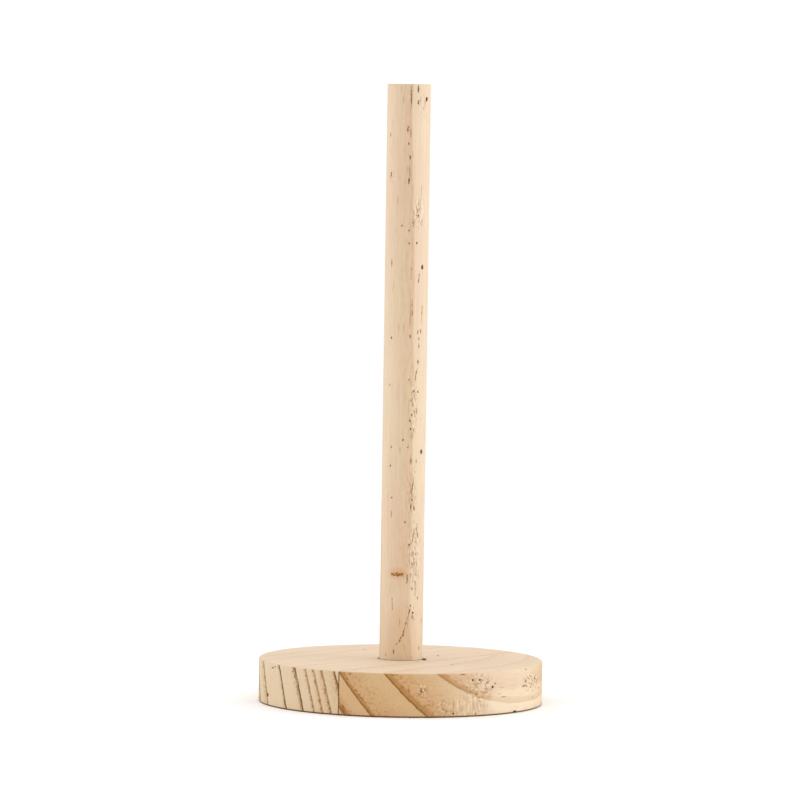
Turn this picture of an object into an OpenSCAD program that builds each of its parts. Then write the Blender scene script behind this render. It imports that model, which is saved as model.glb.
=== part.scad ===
// Hair tie holder: a dowel post standing in a round base of two glued pine boards.
// +Z is up, the origin is the middle of the underside, and the front is towards -Y.

/* [Base] */
// Diameter of the round base
base_d = 130; // [100:1:200]
// Thickness of the boards
base_t = 20; // [16:0.5:30]
// Radius of the sanded edges, top and bottom
base_edge_r = 0.8; // [0.3:0.1:4]
// Direction of the grain, counted from the right-hand side towards the back
grain_angle = 50; // [0:1:180]
// Distance from the post's axis to the glue line between the boards
seam_offset = 16.6; // [15:0.2:40]

/* [Post] */
// Diameter of the dowel
post_d = 20; // [12:0.5:25]
// Length of the dowel, with the foot that stands in the socket
post_len = 275; // [120:1:400]
// Diameter of the dowel's foot, turned down a little to enter the socket
foot_d = 19.5; // [8:0.5:24]
// Chamfer on the dowel's two ends
post_chamfer = 0.5; // [0.2:0.1:2]

/* [Socket] */
// Depth of the socket, which is also the length of the dowel's foot
socket_depth = 12; // [6:0.5:12]
// Width of the broken edge round the socket's mouth
mouth_chamfer = 0.5; // [0.2:0.1:1.5]

/* [Screw] */
// Diameter over the thread
screw_d = 5; // [4:0.25:6]
// Length from the head's face to the tip
screw_len = 40; // [30:1:60]
// Diameter of the smooth shank
shank_d = 3.6; // [3:0.1:4]
// Diameter of the core under the thread
core_d = 3.2; // [2.4:0.1:3.4]
// Length of the threaded part, tip included
thread_len = 25; // [15:1:28]
// Rise of the thread in one turn
thread_pitch = 2.4; // [1.6:0.1:3]
// Length of the pointed tip
tip_len = 5; // [3:0.5:8]
// Diameter of the countersunk head
head_d = 9.6; // [8:0.2:11]
// Height of the straight rim round the head
head_rim = 0.4; // [0.2:0.1:1]
// Depth of the head's face below the base's underside
head_sink = 0.4; // [0.2:0.1:1]
// Width over the arms of the cross recess
recess_w = 4.8; // [3:0.2:6]
// Width of one arm of the cross recess
recess_arm = 1; // [0.6:0.1:1.4]
// Depth of the cross recess
recess_depth = 2.4; // [1:0.1:3]

/* [Fits] */
// Gap between the dowel's foot and the socket's wall, on each side
socket_gap = 0.25; // [0.1:0.05:0.5]
// Gap between the shank and the hole through the base, on each side
shank_gap = 0.8; // [0.2:0.1:1]
// Gap between the screw and the hole and groove that it cuts in the dowel
thread_gap = 0.05; // [0.02:0.01:0.1]
// Length that the pilot hole runs on past the screw's tip
pilot_spare = 1; // [0.5:0.1:3]

/* [Hidden] */
$fn = 96;

base_r = base_d / 2;
post_r = post_d / 2;
foot_r = foot_d / 2;
socket_r = foot_r + socket_gap;
shank_r = shank_d / 2;
core_r = core_d / 2;
head_r = head_d / 2;
// Height of the socket's floor, which the dowel's foot stands on
foot_z = base_t - socket_depth;
// Height at which the head's cone starts, above its straight rim
cone_z = head_sink + head_rim;
tip_z = head_sink + screw_len;
thread_z = tip_z - thread_len;
tip_cone_z = tip_z - tip_len;
// Length that cuts run past a face
cut = 1;

// The thread is swept in short straight steps
steps_per_turn = 16;
// The thread's foot is buried this deep in the core, and so is its crest where it starts
root_bury = 0.25;
crest_bury = 0.1;
// The thread's foot comes no nearer to the axis than this
root_least_r = 0.1;
// The thread's width at its foot, as a share of its pitch
thread_foot = 0.35;
// The thread stops where the tip's cone is this slim
thread_end_r = 0.5;

// A disc with rounded edges
module round_disc(r, t, edge_r) {
    rotate_extrude() {
        square([r - edge_r, t]);
        translate([0, edge_r]) square([r, t - 2 * edge_r]);
        for (z = [edge_r, t - edge_r]) translate([r - edge_r, z]) circle(edge_r, $fn = 32);
    }
}

// One side of the glue line: side = 1 behind it, side = -1 in front of it
module board_blank(side) {
    intersection() {
        round_disc(base_r, base_t, base_edge_r);
        rotate([0, 0, grain_angle])
            translate([-base_d, side > 0 ? -seam_offset : -seam_offset - 2 * base_d, -cut])
                cube([2 * base_d, 2 * base_d, base_t + 2 * cut]);
    }
}

// Socket for the dowel, hole for the shank and countersink for the head
module base_bores() {
    translate([0, 0, foot_z]) cylinder(h = socket_depth + cut, r = socket_r);
    translate([0, 0, base_t - mouth_chamfer])
        cylinder(h = mouth_chamfer + cut, r1 = socket_r, r2 = socket_r + mouth_chamfer + cut);
    translate([0, 0, -cut]) cylinder(h = base_t, r = shank_r + shank_gap);
    translate([0, 0, -cut]) cylinder(h = cone_z + cut + head_r, r1 = head_r + cone_z + cut, r2 = 0);
}

// How far the tip's cone has slimmed the screw at height z: 1 is its full size
function slim_at(z) = z < tip_cone_z ? 1 : (tip_z - z) / tip_len;

// Height of the thread's crest over the core: it rises out of the core in the first half turn
function crest_at(z) =
    let (grown = min(1, 2 * (z - thread_z) / thread_pitch))
    grown * slim_at(z) * (screw_d / 2 - core_r) - (1 - grown) * crest_bury;

// Three corners of the thread's section at height z: under, crest and over
function thread_section(z, turn, gap) =
    let (here_r = slim_at(z) * core_r,
         root_r = max(here_r - root_bury, root_least_r),
         half = thread_foot * thread_pitch * slim_at(z) + gap)
    [for (corner = [[root_r, -half], [here_r + crest_at(z) + gap, 0], [root_r, half]])
        [corner[0] * cos(turn), corner[0] * sin(turn), z + corner[1]]];

// Helical ridge round the core, thicker by gap on each side
module thread_ridge(gap) {
    end_z = tip_z - tip_len * thread_end_r / core_r;
    steps = floor((end_z - thread_z) / thread_pitch * steps_per_turn);
    corners = [for (i = [0 : steps])
        each thread_section(thread_z + i * thread_pitch / steps_per_turn,
                            i * 360 / steps_per_turn, gap)];
    sides = [for (i = [0 : steps - 1], k = [0 : 2])
        let (a = 3 * i + k, b = 3 * i + (k + 1) % 3)
        each [[a, b + 3, a + 3], [a, b, b + 3]]];
    last = 3 * steps;
    polyhedron(corners, concat(sides, [[0, 2, 1], [last, last + 1, last + 2]]));
}

// Smooth shank, core and pointed tip, thicker by gap and longer by spare
module screw_core(gap, spare) {
    rotate_extrude()
        polygon([[0, cone_z], [shank_r + gap, cone_z], [shank_r + gap, thread_z],
                 [core_r + gap, thread_z + (shank_r - core_r)], [core_r + gap, tip_cone_z + spare],
                 [0, tip_z + spare + gap]]);
}

module base_back_board() {
    color("#e6c79c")
        difference() {
            board_blank(1);
            base_bores();
        }
}

module base_front_board() {
    color("#d9b27c") board_blank(-1);
}

module post() {
    color("#ecd3ad")
        difference() {
            translate([0, 0, foot_z])
                rotate_extrude()
                    polygon([[0, 0], [foot_r - post_chamfer, 0], [foot_r, post_chamfer],
                             [foot_r, socket_depth], [post_r, socket_depth],
                             [post_r, post_len - post_chamfer],
                             [post_r - post_chamfer, post_len], [0, post_len]]);
            screw_core(thread_gap, pilot_spare);
            thread_ridge(thread_gap);
        }
}

module base_screw() {
    color("#c9c9c4")
        difference() {
            union() {
                translate([0, 0, head_sink]) cylinder(h = head_rim, r = head_r);
                translate([0, 0, cone_z])
                    cylinder(h = head_r - shank_r, r1 = head_r, r2 = shank_r);
                screw_core(0, 0);
                thread_ridge(0);
            }
            translate([0, 0, head_sink]) cross_recess();
        }
}

// Two crossed slots that taper towards the bottom of the recess
module cross_recess() {
    intersection() {
        translate([0, 0, -recess_depth])
            cylinder(h = 2 * recess_depth, r1 = recess_w, r2 = 0);
        for (turn = [0, 90])
            rotate([0, 0, turn])
                translate([-recess_w, -recess_arm / 2, -cut])
                    cube([2 * recess_w, recess_arm, recess_depth + cut]);
    }
}

base_back_board();
base_front_board();
post();
base_screw();
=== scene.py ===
"""Hair tie holder: a pine dowel standing in a round base of two glued pine boards.

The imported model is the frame. Each wooden piece is a finished mesh with its own growth rings,
cut from its own log, and the screw is turned with a real helical thread."""

import math
from collections import namedtuple

import bmesh
import bpy
from bpy.props import FloatProperty, FloatVectorProperty, IntProperty, PointerProperty
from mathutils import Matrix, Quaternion, Vector


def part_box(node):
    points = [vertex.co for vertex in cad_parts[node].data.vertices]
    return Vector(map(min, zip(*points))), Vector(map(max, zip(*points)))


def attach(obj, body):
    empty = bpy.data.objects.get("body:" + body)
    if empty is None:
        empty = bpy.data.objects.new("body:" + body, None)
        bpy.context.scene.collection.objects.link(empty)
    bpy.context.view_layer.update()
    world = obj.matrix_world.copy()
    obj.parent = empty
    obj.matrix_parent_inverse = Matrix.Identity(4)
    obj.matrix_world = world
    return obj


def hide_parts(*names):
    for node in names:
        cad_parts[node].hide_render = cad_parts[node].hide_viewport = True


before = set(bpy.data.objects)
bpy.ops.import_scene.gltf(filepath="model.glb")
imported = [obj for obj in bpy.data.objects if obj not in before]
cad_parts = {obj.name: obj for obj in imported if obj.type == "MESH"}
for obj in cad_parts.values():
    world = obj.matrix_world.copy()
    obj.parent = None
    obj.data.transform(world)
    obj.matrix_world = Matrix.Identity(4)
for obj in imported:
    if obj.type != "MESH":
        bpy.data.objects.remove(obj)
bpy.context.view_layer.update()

bl_info = {
    "name": "Hair Tie Holder",
    "version": (1, 0, 0),
    "blender": (4, 5, 0),
    "location": "View3D > Sidebar > Holder",
    "description": "Builds a pine hair tie holder round its packed frame",
    "category": "Add Mesh",
}

MM = 0.001

FRONT_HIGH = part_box("base_front_board")[1]
BACK_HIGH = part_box("base_back_board")[1]
POST_LOW, POST_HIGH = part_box("post")
SCREW_LOW, SCREW_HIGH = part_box("base_screw")
# The radii of the base and of the dowel in whole millimetres, for the places of their marks
RIM = round(BACK_HIGH.y / MM)
DOWEL = round(POST_HIGH.x / MM)


def linear(hex_colour):
    """The linear colour of an sRGB hex value such as #ecd2b0."""
    values = [int(hex_colour[i : i + 2], 16) / 255 for i in (1, 3, 5)]
    return tuple(v / 12.92 if v <= 0.04045 else ((v + 0.055) / 1.055) ** 2.4 for v in values)


# A piece's log, in millimetres: the directions along and across the grain, where the pith lies
# across them, how far it shifts in one millimetre along and how it bows (second and third power),
# how soft the rings' outer edge is, each ring as (radius, width of its dark late wood, width of
# its fade towards the pith, strength, strength of the fade), how far the rings waver, and the seed
# of the log's noise
Log = namedtuple("Log", "along across up pith runout bow edge rings waver seed")

GRAIN_TURN = math.radians(50)
GRAIN = Vector((math.cos(GRAIN_TURN), math.sin(GRAIN_TURN), 0))
ACROSS = Vector((math.sin(GRAIN_TURN), -math.cos(GRAIN_TURN), 0))
UP = Vector((0, 0, 1))

# The front board's rings lie at a slant, with the pith far up to the right
FRONT_LOG = Log(
    GRAIN, ACROSS, UP, pith=(311.7, 250.7), runout=(0.009, 0.07), bow=((0, 0), (0.0035, 0.00007)),
    edge=0.5, rings=((389.9, 2.0, 5, 1.0, 0.4), (380.05, 1.5, 13, 1.0, 0.27),
                     (363.2, 2.3, 14, 1.0, 0.3), (347.9, 1.3, 9, 0.9, 0.32)),
    waver=0.4, seed=4.0,
)
# The back board's rings stand nearly upright, with the pith far off to the left
BACK_LOG = Log(
    GRAIN, ACROSS, UP, pith=(-290.0, -76.0), runout=(0, 0), bow=((0, 0), (0, 0)),
    edge=0.35,
    rings=((246.0, 1.2, 6, 0.35, 0.2), (261.0, 1.4, 8, 0.9, 0.4), (271.4, 0.9, 6, 0.8, 0.3),
           (286.7, 0.5, 3, 1.0, 0.25), (297.9, 1.2, 4, 1.0, 0.25), (304.1, 0.4, 2.5, 0.72, 0.2),
           (308.6, 0.5, 2.5, 0.72, 0.2), (312.9, 0.8, 3, 0.75, 0.3), (319.1, 0.7, 5, 0.95, 0.2)),
    waver=0.4, seed=11.0,
)
# The dowel was turned from wood with wide rings, and only one crosses its front
POST_LOG = Log(
    UP, Vector((1, 0, 0)), Vector((0, 1, 0)), pith=(-75.0, -15.0), runout=(0.009, 0),
    bow=((0.0000966, -0.00000035), (0, 0)), edge=1.6,
    rings=((67.6, 0.5, 5, 0.3, 0.3), (79.9, 0.3, 12, 0.36, 0.33), (94.5, 0.8, 8, 0.5, 0.4)),
    waver=4.0, seed=23.0,
)


class HolderSizes(bpy.types.PropertyGroup):
    """Sizes of the holder's pieces."""

    base_radius: FloatProperty(
        name="Base radius", description="Radius of the round base",
        default=max(BACK_HIGH.y, FRONT_HIGH.x), unit="LENGTH")
    base_thickness: FloatProperty(
        name="Base thickness", description="Thickness of the two boards",
        default=FRONT_HIGH.z, unit="LENGTH")
    edge_radius: FloatProperty(
        name="Edge radius", description="Radius of the sanded edges of the base",
        default=0.8 * MM, unit="LENGTH")
    seam_offset: FloatProperty(
        name="Glue line offset", description="Distance from the post's axis to the glue line",
        default=16.6 * MM, unit="LENGTH")
    socket_radius: FloatProperty(
        name="Socket radius", description="Radius of the hole that the dowel stands in",
        default=10 * MM, unit="LENGTH")
    mouth_chamfer: FloatProperty(
        name="Socket edge", description="Width of the broken edge round the socket",
        default=0.5 * MM, unit="LENGTH")
    shank_hole_radius: FloatProperty(
        name="Shank hole radius", description="Radius of the hole that the screw passes through",
        default=2.6 * MM, unit="LENGTH")
    countersink_radius: FloatProperty(
        name="Countersink radius", description="Radius of the countersink at the underside",
        default=5.6 * MM, unit="LENGTH")
    post_radius: FloatProperty(
        name="Dowel radius", description="Radius of the dowel above the base",
        default=POST_HIGH.x, unit="LENGTH")
    foot_radius: FloatProperty(
        name="Foot radius", description="Radius of the dowel's turned foot",
        default=9.75 * MM, unit="LENGTH")
    end_chamfer: FloatProperty(
        name="End chamfer", description="Chamfer on the dowel's two ends",
        default=0.5 * MM, unit="LENGTH")
    head_radius: FloatProperty(
        name="Screw head radius", description="Radius of the screw's countersunk head",
        default=SCREW_HIGH.x, unit="LENGTH")
    head_rim: FloatProperty(
        name="Screw head rim", description="Height of the straight rim round the screw's head",
        default=0.4 * MM, unit="LENGTH")
    recess_reach: FloatProperty(
        name="Recess reach", description="How far the cross recess reaches from the screw's axis",
        default=2.4 * MM, unit="LENGTH")
    shank_radius: FloatProperty(
        name="Shank radius", description="Radius of the screw's smooth shank",
        default=1.8 * MM, unit="LENGTH")
    core_radius: FloatProperty(
        name="Core radius", description="Radius of the screw's core under the thread",
        default=1.6 * MM, unit="LENGTH")
    thread_length: FloatProperty(
        name="Thread length", description="Length of the threaded part, tip included",
        default=25 * MM, unit="LENGTH")
    thread_pitch: FloatProperty(
        name="Thread pitch", description="Rise of the thread in one turn",
        default=2.4 * MM, unit="LENGTH")
    thread_ridge: FloatProperty(
        name="Thread ridge", description="Height of the thread's crest over the core",
        default=0.9 * MM, unit="LENGTH")
    tip_length: FloatProperty(
        name="Tip length", description="Length of the screw's pointed tip",
        default=5 * MM, unit="LENGTH")
    relief: FloatProperty(
        name="Grain relief", description="Depth of the soft wood below the hard rings",
        default=0.06 * MM, unit="LENGTH")
    pit_depth: FloatProperty(
        name="Pit depth", description="Depth of the torn pits and flecks",
        default=0.3 * MM, unit="LENGTH")
    round_steps: IntProperty(
        name="Steps round", description="Faces round the base", default=880, min=64)


class HolderColours(bpy.types.PropertyGroup):
    """Colours of the holder's wood, between its rings and in them."""

    long_pale: FloatVectorProperty(
        name="Long grain", description="Sanded faces along the grain, between the rings",
        subtype="COLOR", default=linear("#dcc6ac"))
    long_late: FloatVectorProperty(
        name="Long grain late wood", description="Rings on the faces along the grain",
        subtype="COLOR", default=linear("#c2a07a"))
    back_end: FloatVectorProperty(
        name="Back board's end grain", description="End grain of the back board, between the rings",
        subtype="COLOR", default=linear("#d5c0a2"))
    back_late: FloatVectorProperty(
        name="Back board's late wood", description="Dull late wood of the back board's end grain",
        subtype="COLOR", default=linear("#ab8a60"))
    back_edge: FloatVectorProperty(
        name="Back board's ring edge", description="Dark edge of each ring of the back board",
        subtype="COLOR", default=linear("#6a5130"))
    front_end: FloatVectorProperty(
        name="Front board's end grain",
        description="End grain of the front board, between the rings",
        subtype="COLOR", default=linear("#cba97e"))
    front_late: FloatVectorProperty(
        name="Front board's late wood",
        description="Golden late wood of the front board's end grain",
        subtype="COLOR", default=linear("#b58650"))
    front_edge: FloatVectorProperty(
        name="Front board's ring edge", description="Dark edge of each ring of the front board",
        subtype="COLOR", default=linear("#8a6332"))
    # The next two colours also paint the shade along the base's lower edge, in the gap round the
    # dowel, in the socket's notches and in torn hollows
    stain_and_shade: FloatVectorProperty(
        name="Stain", description="The brown stain round flecks, cracks and pits",
        subtype="COLOR", default=linear("#865d2b"))
    fleck_and_shade: FloatVectorProperty(
        name="Fleck", description="The middle of flecks, cracks and pits",
        subtype="COLOR", default=linear("#1a0b02"))
    # Pale torn fibres with a painted highlight, and also the painted light on the rim's right and
    # low on the dowel
    fibres_and_highlights: FloatVectorProperty(
        name="Raised fibres", description="Torn fibres that catch the light",
        subtype="COLOR", default=linear("#f3e3c8"))
    knot: FloatVectorProperty(
        name="Knot", description="The small resinous knot on the dowel",
        subtype="COLOR", default=linear("#c47f35"))


class HolderSettings(bpy.types.PropertyGroup):
    """All that the panel offers."""

    sizes: PointerProperty(type=HolderSizes)
    colours: PointerProperty(type=HolderColours)


def add_node(tree, kind, inputs=None, **settings):
    """Adds a node with its settings. An input takes a value, a socket, or a node's first output."""
    node = tree.nodes.new(kind)
    for name, value in settings.items():
        setattr(node, name, value)
    for key, value in (inputs or {}).items():
        if isinstance(value, bpy.types.Node):
            value = value.outputs[0]
        if isinstance(value, bpy.types.NodeSocket):
            tree.links.new(value, node.inputs[key])
        else:
            node.inputs[key].default_value = value
    return node


# A place in the wood, as sockets in millimetres: the place itself, how far it lies along the log
# and from the pith, and where in the log's cross section. The seed is the log's
Wood = namedtuple("Wood", "mm along radius section seed")

# How far the rings' fine ripples reach, in millimetres
RIPPLE = 0.5
# The share of a ring's strength in the late wood before its dark edge
DENSE = 0.76
# A mark is at its full strength out to this share of its reach, and a crack of its half width
MARK_CORE = 0.45
CRACK_CORE = 0.3


def wood_space(tree, position, log):
    """Where in its log each place of a piece lies."""
    mm = add_node(tree, "ShaderNodeVectorMath", {0: position, "Scale": 1 / MM}, operation="SCALE")
    along = add_node(
        tree, "ShaderNodeVectorMath", {0: mm, 1: log.along}, operation="DOT_PRODUCT"
    ).outputs["Value"]
    squared = add_node(tree, "ShaderNodeMath", {0: along, 1: along}, operation="MULTIPLY")
    places = []
    for axis, pith, runout, bow in zip((log.across, log.up), log.pith, log.runout, log.bow):
        place = add_node(
            tree, "ShaderNodeVectorMath", {0: mm, 1: axis + runout * log.along},
            operation="DOT_PRODUCT").outputs["Value"]
        bend = add_node(tree, "ShaderNodeMath", {0: along, 1: bow[1], 2: bow[0]},
                        operation="MULTIPLY_ADD")
        place = add_node(tree, "ShaderNodeMath", {0: squared, 1: bend, 2: place},
                         operation="MULTIPLY_ADD")
        places.append(add_node(tree, "ShaderNodeMath", {0: place, 1: pith}, operation="SUBTRACT"))
    section = add_node(tree, "ShaderNodeCombineXYZ", {1: places[0], 2: places[1]})
    radius = add_node(
        tree, "ShaderNodeVectorMath", {0: section}, operation="LENGTH").outputs["Value"]
    return Wood(mm, along, radius, section, log.seed)


def stretched(tree, wood, stretch, shift=0):
    """Coordinates in mm with features drawn out along the grain by stretch."""
    short = add_node(tree, "ShaderNodeMath", {
        0: wood.along, 1: 1 / stretch, 2: wood.seed + shift}, operation="MULTIPLY_ADD")
    lengthwise = add_node(tree, "ShaderNodeCombineXYZ", {0: short})
    return add_node(tree, "ShaderNodeVectorMath", {0: wood.section, 1: lengthwise},
                    operation="ADD")


def grain_noise(tree, wood, stretch, scale, detail, roughness=0.5, distortion=0.0, shift=0):
    """Noise with scale features in a millimetre across the grain, drawn out along it by stretch."""
    return add_node(tree, "ShaderNodeTexNoise", {
        "Vector": stretched(tree, wood, stretch, shift), "Scale": scale, "Detail": detail,
        "Roughness": roughness, "Distortion": distortion})


def deepest(tree, depths):
    """The greatest of some depths, and 0 where there are none."""
    greatest = None
    for depth in depths:
        if greatest:
            depth = add_node(tree, "ShaderNodeMath", {0: greatest, 1: depth}, operation="MAXIMUM")
        greatest = depth
    return greatest or add_node(tree, "ShaderNodeValue")


def ring_zones(tree, wood, log):
    """How dark the wood is with late growth: 0 between the rings, 1 at a strong ring's edge."""
    wander = grain_noise(tree, wood, stretch=6, scale=0.05, detail=1)
    ripple = grain_noise(tree, wood, stretch=8, scale=0.4, detail=2)
    moved = add_node(tree, "ShaderNodeMath", {0: wander, 1: 2 * log.waver, 2: wood.radius},
                     operation="MULTIPLY_ADD")
    moved = add_node(tree, "ShaderNodeMath", {0: ripple, 1: RIPPLE, 2: moved},
                     operation="MULTIPLY_ADD")
    # Both noises are about a half on the whole, so the rings keep their places
    moved = add_node(tree, "ShaderNodeMath", {0: moved, 1: log.waver + RIPPLE / 2},
                     operation="SUBTRACT")
    zones = []
    for edge, late, fade, strength, haze in log.rings:
        # A haze comes first, then the dense late wood, and a thin line at the ring's edge
        rises = [
            add_node(tree, "ShaderNodeMapRange", {
                "Value": moved, "From Min": start, "From Max": full, "To Max": most},
                interpolation_type=kind)
            for start, full, most, kind in (
                (edge - fade, edge, haze, "LINEAR"),
                (edge - late - 1.2, edge - 0.7 * late, DENSE * strength, "SMOOTHSTEP"),
                (edge - 1.3, edge - 0.3, strength, "SMOOTHSTEP"))]
        fall = add_node(tree, "ShaderNodeMapRange", {
            "Value": moved, "From Min": edge, "From Max": edge + log.edge,
            "To Min": 1.0, "To Max": 0.0}, interpolation_type="SMOOTHSTEP")
        zones.append(add_node(
            tree, "ShaderNodeMath", {0: deepest(tree, rises), 1: fall}, operation="MULTIPLY"))
    return deepest(tree, zones)


def mark_depth(tree, mm, marks):
    """How deep a point lies in any of the marks: a mark's strength at its middle, 0 outside it."""
    depths = []
    for mark in marks:
        off = add_node(tree, "ShaderNodeVectorMath", {0: mm, 1: mark.place}, operation="SUBTRACT")
        off = add_node(tree, "ShaderNodeVectorMath", {0: off, 1: mark.reach}, operation="DIVIDE")
        off = add_node(tree, "ShaderNodeVectorMath", {0: off}, operation="LENGTH").outputs["Value"]
        depths.append(add_node(tree, "ShaderNodeMapRange", {
            "Value": off, "From Min": 1.0, "From Max": MARK_CORE, "To Max": mark.strength},
            interpolation_type="SMOOTHSTEP"))
    return deepest(tree, depths)


def crack_depth(tree, mm, cracks):
    """How deep a point lies in any of the fine cracks, each a path of straight steps."""
    depths = []
    for crack in cracks:
        for start, stop in zip(crack.path, crack.path[1:]):
            step = Vector(stop) - Vector(start)
            off = add_node(tree, "ShaderNodeVectorMath", {0: mm, 1: start}, operation="SUBTRACT")
            share = add_node(tree, "ShaderNodeVectorMath", {0: off, 1: step / step.length_squared},
                             operation="DOT_PRODUCT").outputs["Value"]
            share = add_node(tree, "ShaderNodeClamp", {0: share})
            near = add_node(tree, "ShaderNodeVectorMath", {0: step, "Scale": share},
                            operation="SCALE")
            off = add_node(tree, "ShaderNodeVectorMath", {0: off, 1: near}, operation="SUBTRACT")
            off = add_node(
                tree, "ShaderNodeVectorMath", {0: off}, operation="LENGTH").outputs["Value"]
            depths.append(add_node(tree, "ShaderNodeMapRange", {
                "Value": off, "From Min": crack.half, "From Max": CRACK_CORE * crack.half,
                "To Max": crack.strength}))
    # A crack is weaker in places along its way
    broken = add_node(tree, "ShaderNodeTexNoise", {"Vector": mm, "Scale": 0.45, "Detail": 1.0})
    broken = add_node(tree, "ShaderNodeMapRange", {
        "Value": broken, "From Min": 0.4, "From Max": 0.6, "To Min": 0.45})
    return add_node(
        tree, "ShaderNodeMath", {0: deepest(tree, depths), 1: broken}, operation="MULTIPLY")


def canal_depth(tree, wood):
    """Resin canals: thin dark dashes along the grain, which are dots where it is cut across."""
    cells = add_node(tree, "ShaderNodeTexVoronoi", {
        "Vector": stretched(tree, wood, 8), "Scale": 0.5, "Randomness": 1.0})
    return add_node(tree, "ShaderNodeMapRange", {
        "Value": cells, "From Min": 0.17, "From Max": 0.06})


def frayed(tree, mm, reach):
    """The same place, shifted at random by up to about reach, so that marks get ragged outlines."""
    noise = add_node(tree, "ShaderNodeTexNoise", {"Vector": mm, "Scale": 1.6, "Detail": 2.0})
    shift = add_node(tree, "ShaderNodeVectorMath", {0: noise.outputs["Color"], 1: (0.5, 0.5, 0.5)},
                     operation="SUBTRACT")
    shift = add_node(tree, "ShaderNodeVectorMath", {0: shift, "Scale": 2 * reach},
                     operation="SCALE")
    return add_node(tree, "ShaderNodeVectorMath", {0: mm, 1: shift}, operation="ADD")


# A mark in the wood: its middle and its reach in millimetres, and how strong it is
Mark = namedtuple("Mark", "place reach strength")
# A fine crack or a resin line: the places on its path, half its width, and how strong it is
Crack = namedtuple("Crack", "path half strength")


def on_round(radius, turn, height):
    """A place on a round face of the given radius, turn degrees to the right of the front."""
    angle = math.radians(turn)
    return (radius * math.sin(angle), -radius * math.cos(angle), height)


def turned_mark(radius, turn, height, wide, high, strength=1.0):
    """A mark on a round face, wide and high in millimetres from its middle."""
    return Mark(on_round(radius, turn, height), (wide, wide, high), strength)


def dowel_crack(half, strength, *path):
    """A crack on the dowel through the (turn, height) places of its path, which lie close."""
    return Crack([on_round(DOWEL, *place) for place in path], half, strength)


# Marks on the rim, as (turn, height, reach along the rim, reach up and down, strength).
# Torn pits in its soft wood, and small knocks on its lower edge
RIM_MARKS = [turned_mark(RIM, *mark) for mark in (
    (29.9, 16.5, 0.7, 0.7), (33.3, 16.4, 0.8, 0.6), (36.9, 15.0, 0.7, 0.6, 0.7),
    (39.8, 12.9, 0.9, 0.7), (41.0, 14.4, 0.7, 0.5, 0.5), (59.5, 11.7, 2.4, 0.4, 0.6),
    (61.0, 13.8, 1.1, 0.6, 0.6), (70.0, 14.2, 1.2, 0.6, 0.7), (76.5, 9.0, 1.1, 0.5, 0.6),
    (66.0, 12.0, 1.2, 0.5, 0.4), (61.0, 19.2, 1.6, 0.4, 0.4), (25.5, 19.2, 1.9, 0.3, 0.5),
    (21.5, 1.6, 0.5, 0.9, 0.8), (53.0, 0.7, 1.8, 0.6), (31.5, 1.2, 0.5, 0.6, 0.6),
    (-68.3, 5.0, 1.6, 1.2, 0.7), (-63.3, 17.9, 1.2, 0.5, 0.6), (-61.0, 18.6, 1.0, 0.4, 0.5),
    (-48.5, 17.8, 0.8, 0.4, 0.5), (-20.5, 19.0, 1.2, 0.8, 0.35), (-23.2, 2.6, 1.6, 2.8, 0.35),
)]
# Patches that tore under the saw, right and left of where it cuts along the grain, with painted
# shade in their hollows and painted highlights on their lifted fibres
TORN_PATCHES = [turned_mark(RIM, *patch) for patch in (
    (67, 12.8, 12, 5.5, 0.8), (33.5, 12.5, 9, 9, 0.55), (8.8, 12, 2.6, 4.5, 0.8),
    (-46.5, 14, 3, 4, 0.4), (-63, 17.5, 4, 2.5, 0.5), (17.5, 4.8, 3.5, 4, 0.7),
    (12, 7.5, 2.5, 3.5, 0.5),
)]
# Painted light on the right of the rim, the side that faces the brighter softbox
RIM_PAINTED_LIGHT = [turned_mark(RIM, turn, 6, 13, 8, 0.38) for turn in range(46, 96, 10)]
# Warmer wood beside the glue line
WARM_PATCHES = [turned_mark(RIM, -31, 8, 9, 20, 0.09)]
# Where the saw's upright scratches still show, as painted shade and painted highlights
SAW_LINES = [turned_mark(RIM, 27.5, 4.5, 15, 6.5), turned_mark(RIM, 31, 15, 7, 7, 0.6)]
# A chip out of the socket's edge beside the dowel and a small notch across from it, both painted
# nearly black as the shade of the gap round the dowel, and specks in the top face
TOP_MARKS = [
    Mark((10.7, -2.2, 20), (1.2, 5.2, 1.2), 3.5), Mark((-10.3, -0.6, 20), (0.5, 1.8, 1.2), 1.2),
    Mark((17.1, 14.6, 20), (0.7, 2.2, 1.0), 0.7), Mark((23.3, -23.3, 20), (0.8, 2.6, 1.0), 0.35),
    Mark((-17.1, 37.9, 20), (0.7, 3.0, 1.0), 0.3),
]
BASE_MARKS = RIM_MARKS + TOP_MARKS

# The dowel's pits as (turn, height): a few nearly black ones, and the brown ones
BLACK_PITS = ((55, 276.1), (47, 199.7), (54, 115.4))
BROWN_PITS = (
    (1, 255.8), (30, 223.0), (-14, 218.5), (5, 216.4), (27, 210.7), (6, 210.7), (38, 167.0),
    (-40, 167.3), (11, 148.4), (-44, 145.8), (25, 143.2), (37, 142.9), (20, 132.4), (15, 129.8),
    (17, 126.0), (-3, 121.0), (-36, 117.6), (11, 117.6), (-38, 108.9), (-32, 94.3), (24, 93.6),
    (6, 83.4), (31, 79.7), (18, 73.0), (38, 68.7), (28, 52.9), (24, 45.0), (32, 41.9), (47, 48.4),
    (5, 31.8), (-4, 29.0),
)
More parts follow.
